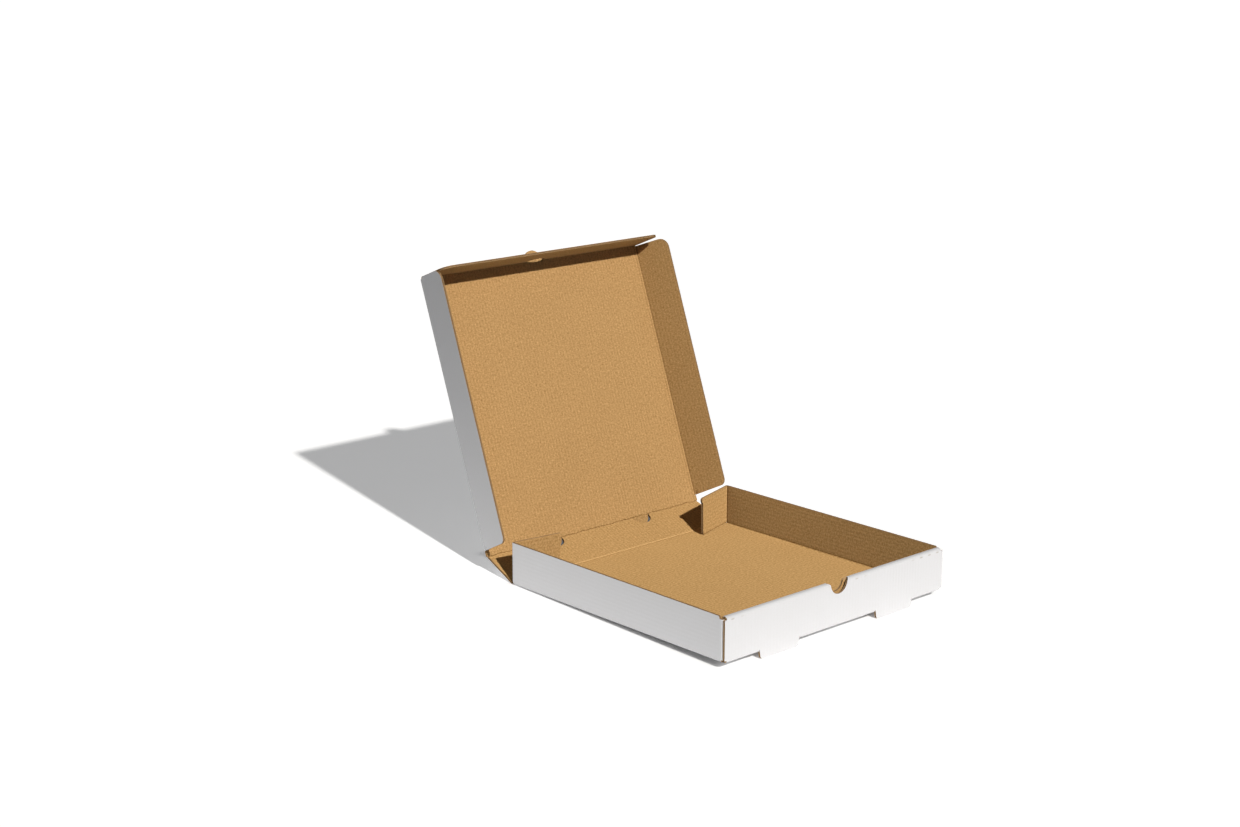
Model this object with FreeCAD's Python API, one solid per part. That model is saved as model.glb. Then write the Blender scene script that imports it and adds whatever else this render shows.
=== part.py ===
"""Open pizza box: a tray with a rolled front wall, a hinge panel behind it, and a lid with three flaps.

Millimetres. The box is built standing square: x = 0 on its middle, y = 0 on its front face, z = 0 on the
inner face of its floor. Each hinged piece is drawn flat, as it is cut from the sheet, with its inner face
up, and is then turned about its crease, which runs on the inner face. Last, the whole box is tipped onto
its two front feet, as it stands, and moved so that the origin is the bottom centre of its outline.
"""
import FreeCAD, Part
import math
import os

V = FreeCAD.Vector
X_AXIS = V(1, 0, 0)
Y_AXIS = V(0, 1, 0)
Z_AXIS = V(0, 0, 1)

# Corrugated board
BOARD = 1.8
FOLD_RADIUS = 0.4
CREASE_GAP = 0.15
KERF = 0.3
LAYER_GAP = 0.2

# Tray
TRAY_WIDTH = 256.0
TRAY_DEPTH = 254.0
WALL_HEIGHT = 37.0
DUST_FLAP_LENGTH = 55.0
DUST_FLAP_RADIUS = 8.0

# Feet under the front wall, with the lock tabs of the inner front panel behind them
FOOT_HEIGHT = 6.0
FOOT_WIDTH = 45.0
FOOT_TAPER = 1.5
FOOT_RADIUS = 3.0
FOOT_SPACING = 135.0
LOCK_TAB_INSET = 2.5

# Finger notch in the front wall
NOTCH_RADIUS = 9.8
NOTCH_DEPTH = 10.3
NOTCH_LIP_RADIUS = 2.8
INNER_NOTCH_STEP = 0.8

# Rear tabs at the back ends of the side walls
TAB_LENGTH = 46.0
TAB_TAPER = 1.0
TAB_RADIUS = 2.0
EAR_LENGTH = 3.5
EAR_HEIGHT = 6.0
FLOOR_GAP = 0.5

# Hinge panel between tray and lid
HINGE_PANEL_HEIGHT = 37.8
HINGE_PANEL_INSET = 0.6
HINGE_PANEL_TAPER = 3.4
VENT_RADIUS = 10.0
VENT_SPACING = 104.0

# Lid
FLAP_CLEARANCE = 0.4
LID_SHOULDER = 1.2
SIDE_FLAP_START = 5.6
SIDE_FLAP_END_GAP = 0.6
SIDE_FLAP_DEPTH = 35.2
SIDE_FLAP_TAPER = 4.0
SIDE_FLAP_FRONT_RADIUS = 9.5
SIDE_FLAP_BACK_RADIUS = 6.0
FRONT_FLAP_DEPTH = 34.5
FRONT_FLAP_MARGIN = 1.0
FRONT_FLAP_RADIUS = 9.0
THUMB_RADIUS = 10.0

# How far each piece is folded from the flat sheet as the box stands, in degrees
HINGE_PANEL_FOLD = 20.2
LID_FOLD = 49.6
FRONT_FLAP_FOLD = 88.0
LEFT_FLAP_FOLD = 82.2
RIGHT_FLAP_FOLD = 76.7
LEFT_TAB_FOLD = 97.5
RIGHT_TAB_FOLD = 107.0

# Sizes that follow from those above
BEND = FOLD_RADIUS + BOARD
HALF_WIDTH = TRAY_WIDTH / 2
INNER_HALF = HALF_WIDTH - BOARD
FLAT_HALF = HALF_WIDTH - BEND
TOP = WALL_HEIGHT - BOARD
ROLL_DEPTH = 3 * BOARD + 2 * LAYER_GAP
DUST_FLAP_FRONT = BOARD + LAYER_GAP
DUST_FLAP_TOP = TOP - BOARD - FOLD_RADIUS
WALL_START = DUST_FLAP_FRONT + BEND
BACK_CREASE = TRAY_DEPTH - BOARD
FLOOR_END = BACK_CREASE - CREASE_GAP
TAB_CREASE = FLOOR_END - CREASE_GAP - BOARD
WALL_END = TAB_CREASE - CREASE_GAP
LID_CREASE = BACK_CREASE + HINGE_PANEL_HEIGHT
LID_DEPTH = BACK_CREASE - ROLL_DEPTH - BOARD - FLAP_CLEARANCE
FRONT_CREASE = LID_CREASE + LID_DEPTH
LID_HALF = INNER_HALF - BOARD - FLAP_CLEARANCE
FOOT_CENTRES = [-FOOT_SPACING / 2, FOOT_SPACING / 2]
FOOT_REACH = BOARD + FOOT_HEIGHT
STANCE = -math.degrees(math.atan2(FOOT_HEIGHT, FLOOR_END - BOARD))


def box(x0, x1, y0, y1, z0, z1):
    """A plain block between two corners."""
    return Part.makeBox(x1 - x0, y1 - y0, z1 - z0, V(x0, y0, z0))


def fuse(shapes):
    """One clean solid out of pieces that meet."""
    joined = shapes[0].multiFuse(shapes[1:]).removeSplitter()
    return joined.Solids[0] if len(joined.Solids) == 1 else joined


def rounded(corners):
    """A closed outline on z = 0 through corners (x, y, radius); radius 0 keeps a corner sharp."""
    points = [V(x, y, 0) for x, y, radius in corners]
    count = len(points)
    starts, ends, edges = [], [], []
    for i, corner in enumerate(points):
        radius = corners[i][2]
        before = (points[i - 1] - corner).normalize()
        after = (points[(i + 1) % count] - corner).normalize()
        half = before.getAngle(after) / 2
        reach = radius / math.tan(half)
        starts.append(corner + before * reach)
        ends.append(corner + after * reach)
        if radius > 0:
            middle = corner + (before + after).normalize() * (radius / math.sin(half) - radius)
            edges.append(Part.Arc(starts[i], middle, ends[i]).toShape())
    for i in range(count):
        edges.append(Part.makeLine(ends[i], starts[(i + 1) % count]))
    return Part.Wire(Part.__sortEdges__(edges))


def sheet(corners):
    """A flat piece of board with its inner face on z = 0."""
    return Part.Face(rounded(corners)).extrude(Z_AXIS * -BOARD)


def disc(x, y, radius):
    """A round piece of board with its inner face on z = 0."""
    return Part.makeCylinder(radius, BOARD, V(x, y, -BOARD))


def half_disc(x, y, radius, side):
    """The half of a round piece of board that lies before (-1) or behind (+1) the line at y."""
    near, far = sorted([y, y + side * radius])
    return disc(x, y, radius).common(box(x - radius, x + radius, near, far, -BOARD, 0))


def turn(axis, degrees, point):
    """The placement that turns about a line through a point."""
    return FreeCAD.Placement(V(0, 0, 0), FreeCAD.Rotation(axis, degrees), point)


def quarter_bend(centre, run, first, second):
    """A quarter ring of board round a fold, from one direction to the other, along the run."""
    middle = (first + second).normalize()
    edges = []
    for radius in (FOLD_RADIUS, BEND):
        points = [centre + way * radius for way in (first, middle, second)]
        edges.append(Part.Arc(*points).toShape())
    for way in (first, second):
        edges.append(Part.makeLine(centre + way * FOLD_RADIUS, centre + way * BEND))
    return Part.Face(Part.Wire(Part.__sortEdges__(edges))).extrude(run)


def foot_outline(x, root, reach, way, margin):
    """A foot, or the slot it leaves in the floor: from its root it runs a reach along y, in the given way."""
    half = FOOT_WIDTH / 2 + margin
    end = root + way * (reach + margin)
    return [
        (x - half, root, 0),
        (x + half, root, 0),
        (x + half - FOOT_TAPER, end, FOOT_RADIUS),
        (x - half + FOOT_TAPER, end, FOOT_RADIUS),
    ]


def floor_panel():
    """The floor, with a slot at the front for each foot that was cut from it."""
    panel = box(-FLAT_HALF, FLAT_HALF, BEND, FLOOR_END, -BOARD, 0)
    for x in FOOT_CENTRES:
        panel = panel.cut(sheet(foot_outline(x, BOARD, FOOT_REACH, 1, KERF)))
    return panel


def side_wall(side):
    """A side wall, with its fold to the floor and, round the front corner, its dust flap."""
    x_fold = side * FLAT_HALF
    inner, outer = sorted([side * INNER_HALF, side * HALF_WIDTH])
    step = ROLL_DEPTH + KERF
    corner = V(x_fold, WALL_START, FOLD_RADIUS)
    flap = sheet([
        (FOLD_RADIUS, FLAT_HALF, 0),
        (DUST_FLAP_TOP, FLAT_HALF, 0),
        (DUST_FLAP_TOP, HALF_WIDTH - DUST_FLAP_LENGTH, DUST_FLAP_RADIUS),
        (FOLD_RADIUS, HALF_WIDTH - DUST_FLAP_LENGTH, 0),
    ])
    stand = FreeCAD.Matrix(0, side, 0, 0, 0, 0, 1, DUST_FLAP_FRONT + BOARD, 1, 0, 0, 0, 0, 0, 0, 1)
    return [
        quarter_bend(corner, Y_AXIS * (WALL_END - WALL_START), X_AXIS * side, Z_AXIS * -1),
        box(inner, outer, WALL_START, step, FOLD_RADIUS, DUST_FLAP_TOP),
        box(inner, outer, step, WALL_END, FOLD_RADIUS, TOP),
        quarter_bend(corner, Z_AXIS * (DUST_FLAP_TOP - FOLD_RADIUS), X_AXIS * side, Y_AXIS * -1),
        flap.transformGeometry(stand),
    ]


def front_wall():
    """The outer front panel, the top strip and the inner front panel, rolled over the dust flaps."""
    low, high = FOLD_RADIUS, TOP - BEND
    strip_half = FLAT_HALF
    inner_face = ROLL_DEPTH - BEND
    upright = turn(X_AXIS, 90, V(0, 0, 0))
    pieces = [
        box(-HALF_WIDTH, HALF_WIDTH, 0, BOARD, low, high),
        quarter_bend(V(-strip_half, BEND, high), X_AXIS * 2 * strip_half, Y_AXIS * -1, Z_AXIS),
        box(-strip_half, strip_half, BEND, inner_face, TOP - BOARD, TOP),
        quarter_bend(V(-strip_half, inner_face, high), X_AXIS * 2 * strip_half, Y_AXIS, Z_AXIS),
        box(-strip_half, strip_half, ROLL_DEPTH - BOARD, ROLL_DEPTH, LAYER_GAP, high),
    ]
    fold_starts = [-FLAT_HALF]
    fold_ends = []
    for x in FOOT_CENTRES:
        foot = sheet(foot_outline(x, low, low + FOOT_REACH, -1, 0))
        foot.Placement = upright
        pieces.append(foot)
        tab_half = FOOT_WIDTH / 2 - LOCK_TAB_INSET
        pieces.append(box(x - tab_half, x + tab_half, ROLL_DEPTH - BOARD, ROLL_DEPTH, -BOARD, LAYER_GAP))
        fold_ends.append(x - FOOT_WIDTH / 2 - KERF)
        fold_starts.append(x + FOOT_WIDTH / 2 + KERF)
    fold_ends.append(FLAT_HALF)
    for start, end in zip(fold_starts, fold_ends):
        pieces.append(quarter_bend(V(start, BEND, low), X_AXIS * (end - start), Y_AXIS * -1, Z_AXIS * -1))
    return pieces


def notch_tool(radius, front, back):
    """The finger notch: a half round with rounded lips, through the layers from front to back."""
    centre = V(0, front, TOP - NOTCH_DEPTH + NOTCH_RADIUS)
    lip_z = TOP - NOTCH_LIP_RADIUS
    lip_x = math.sqrt((radius + NOTCH_LIP_RADIUS) ** 2 - (lip_z - centre.z) ** 2)
    edges = []
    touches = []
    for side in (-1, 1):
        lip = V(side * lip_x, front, lip_z)
        inward = (centre - lip).normalize()
        touch = lip + inward * NOTCH_LIP_RADIUS
        middle = lip + (inward + Z_AXIS).normalize() * NOTCH_LIP_RADIUS
        top = lip + Z_AXIS * NOTCH_LIP_RADIUS
        edges.append(Part.Arc(top, middle, touch).toShape())
        edges.append(Part.makeLine(top, top + Z_AXIS * BOARD))
        touches.append(touch)
    edges.append(Part.Arc(touches[0], centre - Z_AXIS * radius, touches[1]).toShape())
    high = TOP + BOARD
    edges.append(Part.makeLine(V(-lip_x, front, high), V(lip_x, front, high)))
    return Part.Face(Part.Wire(Part.__sortEdges__(edges))).extrude(Y_AXIS * (back - front))


def tray():
    """Floor, walls, rolled front and feet, all one folded piece."""
    pieces = [floor_panel()] + side_wall(-1) + side_wall(1) + front_wall()
    body = fuse(pieces)
    for radius, front, back in (
        (NOTCH_RADIUS, -BOARD, BEND),
        (NOTCH_RADIUS - INNER_NOTCH_STEP, BEND, ROLL_DEPTH + BOARD),
    ):
        body = body.cut(notch_tool(radius, front, back))
    return body.Solids[0]


def rear_tab(side, degrees):
    """A rear tab: it runs on from the side wall and is folded in behind the tray by some degrees."""
    low, high = INNER_HALF + FLOOR_GAP, INNER_HALF + TOP
    start, end = TAB_CREASE + CREASE_GAP, TAB_CREASE + TAB_LENGTH
    flat = sheet([
        (side * low, start, 0),
        (side * high, start, 0),
        (side * high, end + EAR_LENGTH, TAB_RADIUS),
        (side * (high - EAR_HEIGHT), end, 0),
        (side * low, end - TAB_TAPER, TAB_RADIUS),
    ])
    wall_fold = turn(Y_AXIS * -side, 90, V(side * INNER_HALF, 0, 0))
    tab_fold = turn(Z_AXIS * side, degrees, V(side * INNER_HALF, TAB_CREASE, 0))
    flat.Placement = tab_fold.multiply(wall_fold)
    return flat


def hinge_panel():
    """The panel between floor and lid, with a half-round cut-out at each side of its top crease."""
    start, end = BACK_CREASE + CREASE_GAP, LID_CREASE - CREASE_GAP
    foot_half = HALF_WIDTH - HINGE_PANEL_INSET
    top_half = foot_half - HINGE_PANEL_TAPER
    panel = sheet([
        (-foot_half, start, 0),
        (foot_half, start, 0),
        (top_half, end, 0),
        (-top_half, end, 0),
    ])
    for x in (-VENT_SPACING / 2, VENT_SPACING / 2):
        panel = panel.cut(disc(x, LID_CREASE, VENT_RADIUS + KERF))
    return panel


def lid_panel():
    """The lid's flat top, with the half-round tabs that stay in its plane at both creases."""
    start, end = LID_CREASE + CREASE_GAP, FRONT_CREASE - CREASE_GAP
    flap_start = LID_CREASE + SIDE_FLAP_START - KERF
    wide, narrow = LID_HALF + LID_SHOULDER, LID_HALF - CREASE_GAP
    pieces = [
        box(-wide, wide, start, flap_start, -BOARD, 0),
        box(-narrow, narrow, flap_start, end, -BOARD, 0),
        half_disc(0, end, THUMB_RADIUS, 1),
    ]
    for x in (-VENT_SPACING / 2, VENT_SPACING / 2):
        pieces.append(half_disc(x, start, VENT_RADIUS, -1))
    return fuse(pieces)


def front_flap():
    """The lid's front flap, with the half-round hole its thumb tab is cut from."""
    start, end = FRONT_CREASE + CREASE_GAP, FRONT_CREASE + FRONT_FLAP_DEPTH
    half = LID_HALF + FRONT_FLAP_MARGIN
    flap = sheet([
        (-half, start, 0),
        (half, start, 0),
        (half, end, FRONT_FLAP_RADIUS),
        (-half, end, FRONT_FLAP_RADIUS),
    ])
    return flap.cut(disc(0, FRONT_CREASE, THUMB_RADIUS + KERF))


def side_flap(side):
    """A side flap of the lid, with its free corners rounded."""
    start, end = LID_CREASE + SIDE_FLAP_START, FRONT_CREASE - SIDE_FLAP_END_GAP
    near, far = side * (LID_HALF + CREASE_GAP), side * (LID_HALF + SIDE_FLAP_DEPTH)
    return sheet([
        (near, start, 0),
        (far, start + SIDE_FLAP_TAPER, SIDE_FLAP_BACK_RADIUS),
        (far, end, SIDE_FLAP_FRONT_RADIUS),
        (near, end, 0),
    ])


def folded_box():
    """Every piece where it belongs, with the box standing square."""
    panel_fold = turn(X_AXIS, HINGE_PANEL_FOLD, V(0, BACK_CREASE, 0))
    lid_fold = panel_fold.multiply(turn(X_AXIS, LID_FOLD, V(0, LID_CREASE, 0)))
    front_fold = lid_fold.multiply(turn(X_AXIS, FRONT_FLAP_FOLD, V(0, FRONT_CREASE, 0)))
    left_fold = lid_fold.multiply(turn(Y_AXIS, LEFT_FLAP_FOLD, V(-LID_HALF, 0, 0)))
    right_fold = lid_fold.multiply(turn(Y_AXIS * -1, RIGHT_FLAP_FOLD, V(LID_HALF, 0, 0)))
    unmoved = FreeCAD.Placement()
    return {
        "tray": (tray(), unmoved),
        "rear_tab_left": (rear_tab(-1, LEFT_TAB_FOLD), unmoved),
        "rear_tab_right": (rear_tab(1, RIGHT_TAB_FOLD), unmoved),
        "hinge_panel": (hinge_panel(), panel_fold),
        "lid_panel": (lid_panel(), lid_fold),
        "lid_front_flap": (front_flap(), front_fold),
        "lid_flap_left": (side_flap(-1), left_fold),
        "lid_flap_right": (side_flap(1), right_fold),
    }


def standing_box():
    """The box tipped onto its feet, with the origin at the bottom centre of its outline."""
    tip = turn(X_AXIS, STANCE, V(0, 0, 0))
    nodes = {}
    for name, (shape, fold) in folded_box().items():
        shape.Placement = tip.multiply(fold.multiply(shape.Placement))
        nodes[name] = shape
    around = Part.makeCompound(list(nodes.values())).optimalBoundingBox(False, False)
    shift = V(0, -around.Center.y, -around.ZMin)
    for shape in nodes.values():
        shape.translate(shift)
    return nodes, shift


NODES, SHIFT = standing_box()
os.makedirs("parts", exist_ok=True)
for name, shape in NODES.items():
    shape.exportStep("parts/" + name + ".step")
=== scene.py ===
"""Open pizza box of corrugated board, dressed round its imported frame.

Board surfaces are laid out flat, in the blank's own plane, and each panel is then carried to its place. Two
liners show as faces, and along each cut edge the fluted paper between them is real geometry.
"""
import math

import bmesh
import bpy
from mathutils import Matrix, Vector, geometry, noise


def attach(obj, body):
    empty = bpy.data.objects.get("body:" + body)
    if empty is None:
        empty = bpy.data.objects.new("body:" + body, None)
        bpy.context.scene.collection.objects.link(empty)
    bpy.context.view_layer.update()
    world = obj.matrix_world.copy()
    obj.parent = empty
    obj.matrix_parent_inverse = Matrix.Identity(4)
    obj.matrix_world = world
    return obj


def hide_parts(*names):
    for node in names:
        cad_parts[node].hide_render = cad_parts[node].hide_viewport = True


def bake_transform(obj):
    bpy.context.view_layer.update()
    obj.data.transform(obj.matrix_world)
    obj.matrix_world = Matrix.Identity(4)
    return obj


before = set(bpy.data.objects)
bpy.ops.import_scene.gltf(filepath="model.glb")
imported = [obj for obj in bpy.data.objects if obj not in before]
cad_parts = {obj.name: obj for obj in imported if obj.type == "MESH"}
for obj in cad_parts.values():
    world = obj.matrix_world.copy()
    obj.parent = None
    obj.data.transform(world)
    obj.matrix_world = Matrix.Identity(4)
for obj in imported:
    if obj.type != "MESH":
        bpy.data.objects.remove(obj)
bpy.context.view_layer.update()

MM = 0.001

# Board
BOARD = 1.8
LINER = 0.26
FLUTE_PAPER = 0.2
EDGE_DEPTH = 0.7
RIBBON_INSET = 0.05
FLUTE_CRUSH = 0.07
PLAIN_STEP = 40.0
PITCH = 3.5
WAVE_PARTS = 8
FOLD_RADIUS = 0.4
CREASE_GAP = 0.15
KERF = 0.3
LAYER_GAP = 0.2

# Tray
TRAY_WIDTH = 256.0
TRAY_DEPTH = 254.0
WALL_HEIGHT = 37.0
DUST_FLAP_LENGTH = 55.0
DUST_FLAP_RADIUS = 8.0
FOOT_HEIGHT = 6.0
FOOT_WIDTH = 45.0
FOOT_TAPER = 1.5
FOOT_RADIUS = 3.0
FOOT_SPACING = 135.0
LOCK_TAB_INSET = 2.5
LOCK_TAB_CORNER = 0.8
FRONT_FOLD_CRUSH = 0.3
NOTCH_RADIUS = 9.8
NOTCH_DEPTH = 10.3
NOTCH_LIP_RADIUS = 2.8
INNER_NOTCH_STEP = 0.8
TAB_LENGTH = 46.0
TAB_TAPER = 1.0
TAB_RADIUS = 2.0
EAR_LENGTH = 3.5
EAR_HEIGHT = 6.0
FLOOR_GAP = 0.5

# Hinge panel and lid
HINGE_PANEL_HEIGHT = 37.8
HINGE_PANEL_INSET = 0.6
HINGE_PANEL_TAPER = 3.4
VENT_RADIUS = 10.0
VENT_SPACING = 104.0
FLAP_CLEARANCE = 0.4
LID_SHOULDER = 1.2
SIDE_FLAP_START = 5.6
SIDE_FLAP_END_GAP = 0.6
SIDE_FLAP_DEPTH = 35.2
SIDE_FLAP_TAPER = 4.0
SIDE_FLAP_FRONT_RADIUS = 9.5
SIDE_FLAP_BACK_RADIUS = 6.0
END_SWELL = {-1: 1.3, 1: -SIDE_FLAP_END_GAP}
FRONT_FLAP_DEPTH = 34.5
FRONT_FLAP_MARGIN = 1.0
FRONT_FLAP_RADIUS = 9.0
THUMB_RADIUS = 10.0

# Folds from the flat sheet, in degrees
HINGE_PANEL_FOLD = 20.2
LID_FOLD = 49.6
FRONT_FLAP_FOLD = 88.0
LEFT_FLAP_FOLD = 82.2
RIGHT_FLAP_FOLD = 76.7
TAB_FOLD = {-1: 97.5, 1: 107.0}

# The bent board over a hinge laps onto both panels, and its outer skin may stand proud or sink
CREASE_LIP = 1.3
CREASE_RISE = 0.035
TAB_CREASE_RISE = -0.06
CREASE_WAVE = 0.05

# Worked out from the sizes above
BEND = FOLD_RADIUS + BOARD
HALF_WIDTH = TRAY_WIDTH / 2
INNER_HALF = HALF_WIDTH - BOARD
FLAT_HALF = HALF_WIDTH - BEND
TOP = WALL_HEIGHT - BOARD
ROLL_DEPTH = 3 * BOARD + 2 * LAYER_GAP
DUST_FLAP_FRONT = BOARD + LAYER_GAP
DUST_FLAP_TOP = TOP - BOARD - FOLD_RADIUS
WALL_START = DUST_FLAP_FRONT + BEND
ROLL_LEVEL = TOP - BEND
TOP_STRIP_START = BOARD - (TOP - BOARD)
INNER_FRONT_START = TOP_STRIP_START - (ROLL_DEPTH - 2 * BOARD)
BACK_CREASE = TRAY_DEPTH - BOARD
FLOOR_END = BACK_CREASE - CREASE_GAP
TAB_CREASE = FLOOR_END - CREASE_GAP - BOARD
WALL_END = TAB_CREASE - CREASE_GAP
LID_CREASE = BACK_CREASE + HINGE_PANEL_HEIGHT
LID_DEPTH = BACK_CREASE - ROLL_DEPTH - BOARD - FLAP_CLEARANCE
FRONT_CREASE = LID_CREASE + LID_DEPTH
LID_HALF = INNER_HALF - BOARD - FLAP_CLEARANCE
LID_EDGE = LID_HALF - CREASE_GAP
VENT = VENT_SPACING / 2
VENT_CUT = VENT_RADIUS + KERF
THUMB_CUT = THUMB_RADIUS + KERF
FOOT_CENTRES = [-FOOT_SPACING / 2, FOOT_SPACING / 2]
SIDES = ((-1, "left"), (1, "right"))
STANCE = -math.degrees(math.atan2(FOOT_HEIGHT, FLOOR_END - BOARD))
SHIFT = Vector((0, -191.4024046, 7.8409035))

# How cut edges stray: how far, between points how far apart, and where a rare nick begins and how deep it
# goes. The wanders say how much of the noise passes in each millimetre.
EDGE_STRAY = 0.07
EDGE_STEP = 2.6
OUTWARD_LIMIT = 0.01
NICK_LEVEL = 0.62
NICK_DEPTH = 2.4
FINE_WANDER, BROAD_WANDER, NICK_WANDER = 0.45, 0.05, 0.21

# How folds in the tray sink along their middle, across the flutes and along them
ACROSS_SINK, ACROSS_WANDER = 0.05, 0.15
ALONG_SINK, ALONG_WANDER = 0.06, 0.12

# Painted shade on the liners, in the blank's plane: slits along the front wall's top fold and dents beside
# the right wall's crease
PERFORATION_LINE = TOP_STRIP_START + FOLD_RADIUS + 0.5
PERFORATION_HALF_LENGTH = 1.7
PERFORATIONS = [
    (-119.7, 0.35), (-109.4, 0.1), (20.9, 0.3), (31.2, 0.12),
    (90.3, 0.14), (100.6, 0.4), (110.9, 0.35), (121.2, 0.35),
]
DENT_PITCH = 7.3
DENT_START = 77.0
DENT_END = 159.0

X_AXIS = Vector((1, 0, 0))
Y_AXIS = Vector((0, 1, 0))
Z_AXIS = Vector((0, 0, 1))


def turn(axis, degrees, point):
    """The turn about a line through a point."""
    p = Vector(point)
    return Matrix.Translation(p) @ Matrix.Rotation(math.radians(degrees), 4, axis) @ Matrix.Translation(-p)


# Where each panel lies: from millimetres in the blank to metres in the shared frame
TIP = Matrix.Rotation(math.radians(STANCE), 4, "X")
IN_TRAY = Matrix.Diagonal((MM, MM, MM, 1)) @ Matrix.Translation(SHIFT) @ TIP
IN_PANEL = IN_TRAY @ turn(X_AXIS, HINGE_PANEL_FOLD, (0, BACK_CREASE, 0))
IN_LID = IN_PANEL @ turn(X_AXIS, LID_FOLD, (0, LID_CREASE, 0))
IN_FRONT_FLAP = IN_LID @ turn(X_AXIS, FRONT_FLAP_FOLD, (0, FRONT_CREASE, 0))
IN_SIDE_FLAP = {
    -1: IN_LID @ turn(Y_AXIS, LEFT_FLAP_FOLD, (-LID_HALF, 0, 0)),
    1: IN_LID @ turn(-Y_AXIS, RIGHT_FLAP_FOLD, (LID_HALF, 0, 0)),
}
IN_SIDE_WALL = {
    side: IN_TRAY @ turn(-side * Y_AXIS, 90, (side * INNER_HALF, 0, 0))
    for side in (-1, 1)
}
IN_REAR_TAB = {
    side: IN_TRAY @ turn(side * Z_AXIS, TAB_FOLD[side], (side * INNER_HALF, TAB_CREASE, 0))
    @ turn(-side * Y_AXIS, 90, (side * INNER_HALF, 0, 0))
    for side in (-1, 1)
}

FACE_DOWN = Matrix.Diagonal((1, 1, -1, 1))

# Material slots
KRAFT, WHITE, EDGE, FLUTE = range(4)


class Mesh:
    """Vertices in the shared frame, each with its place in the flat blank."""

    def __init__(self):
        self.points, self.flat, self.faces, self.slots = [], [], [], []

    def add(self, place, x, y, z, flat=None):
        self.points.append(place @ Vector((x, y, z)))
        self.flat.append(flat or (x, y, z))
        return len(self.points) - 1

    def face(self, corners, slot):
        self.faces.append(corners)
        self.slots.append(slot)

    def build(self, name):
        mesh = bpy.data.meshes.new(name)
        mesh.from_pydata(self.points, [], self.faces)
        for material in MATERIALS:
            mesh.materials.append(material)
        mesh.polygons.foreach_set("material_index", self.slots)
        flat = mesh.attributes.new("blank", "FLOAT_VECTOR", "POINT")
        flat.data.foreach_set("vector", [c * MM for f in self.flat for c in f])
        mesh.update()
        piece = bpy.data.objects.new(name, mesh)
        bpy.context.collection.objects.link(piece)
        return piece


def anticlockwise(loop):
    """The same loop of (x, y, kind), turned to run anticlockwise if it doesn't."""
    area = sum(a[0] * b[1] - b[0] * a[1] for a, b in zip(loop, loop[1:] + loop[:1]))
    if area > 0:
        return loop
    return [(p[0], p[1], loop[i - 1][2]) for i, p in enumerate(loop)][::-1]


def rounded(corners, step=0.8):
    """A closed run of points through corners (x, y, radius, kind of the edge that follows)."""
    count = len(corners)
    loop = []
    for i, (x, y, radius, kind) in enumerate(corners):
        corner = Vector((x, y))
        before_kind = corners[i - 1][3]
        if radius == 0:
            loop.append((x, y, kind))
            continue
        before = (Vector(corners[i - 1][:2]) - corner).normalized()
        after = (Vector(corners[(i + 1) % count][:2]) - corner).normalized()
        half = before.angle(after) / 2
        centre = corner + (before + after).normalized() * (radius / math.sin(half))
        first = corner + before * (radius / math.tan(half)) - centre
        last = corner + after * (radius / math.tan(half)) - centre
        sweep = math.atan2(first.x * last.y - first.y * last.x, first.dot(last))
        parts = max(2, round(abs(sweep) * radius / step))
        for k in range(parts + 1):
            spoke = Matrix.Rotation(sweep * k / parts, 2) @ first
            loop.append((centre.x + spoke.x, centre.y + spoke.y, kind if k == parts else before_kind))
    return loop


def arc(x, y, radius, start, end, step=0.8, kind="cut"):
    """Points on an arc, angles in degrees."""
    parts = max(2, round(abs(math.radians(end - start)) * radius / step))
    return [
        (
            x + radius * math.cos(math.radians(start + (end - start) * k / parts)),
            y + radius * math.sin(math.radians(start + (end - start) * k / parts)),
            kind,
        )
        for k in range(parts + 1)
    ]


def roughen(loop, seed):
    """Cut edges are never quite straight: long ones get points that stray a little, mostly inwards."""
    out = []
    count = len(loop)
    for i, (x, y, kind) in enumerate(loop):
        nx, ny, _ = loop[(i + 1) % count]
        out.append((x, y, kind))
        length = math.hypot(nx - x, ny - y)
        if kind != "cut" or length < 2 * EDGE_STEP:
            continue
        parts = round(length / EDGE_STEP)
        normal = Vector((ny - y, x - nx)) / length
        for k in range(1, parts):
            t = k / parts
            px, py = x + (nx - x) * t, y + (ny - y) * t
            fine, broad, nick = (
                noise.noise(Vector((px * wander, py * wander, seed + shift)))
                for wander, shift in ((FINE_WANDER, 0), (BROAD_WANDER, 9), (NICK_WANDER, 20))
            )
            stray = min((fine + broad) * EDGE_STRAY, OUTWARD_LIMIT) - max(0, nick - NICK_LEVEL) * NICK_DEPTH
            out.append((px + normal.x * stray, py + normal.y * stray, kind))
    return out


def edge_normals(loop):
    """For each point, the way out across the cut edges that meet there."""
    count = len(loop)
    ways = []
    for i in range(count):
        x, y, kind = loop[i]
        px, py, kind_before = loop[i - 1]
        nx, ny, _ = loop[(i + 1) % count]
        normals = []
        if kind_before != "fold":
            d = Vector((x - px, y - py)).normalized()
            normals.append(Vector((d.y, -d.x)))
        if kind != "fold":
            d = Vector((nx - x, ny - y)).normalized()
            normals.append(Vector((d.y, -d.x)))
        if not normals:
            ways.append(Vector((0, 0)))
        elif len(normals) == 1:
            ways.append(normals[0])
        else:
            # A mitre, kept short at sharp corners
            joined = normals[0] + normals[1]
            ways.append(joined / max(0.6, joined.length_squared / 2) if joined.length > 0.1 else normals[0])
    return ways


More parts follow.
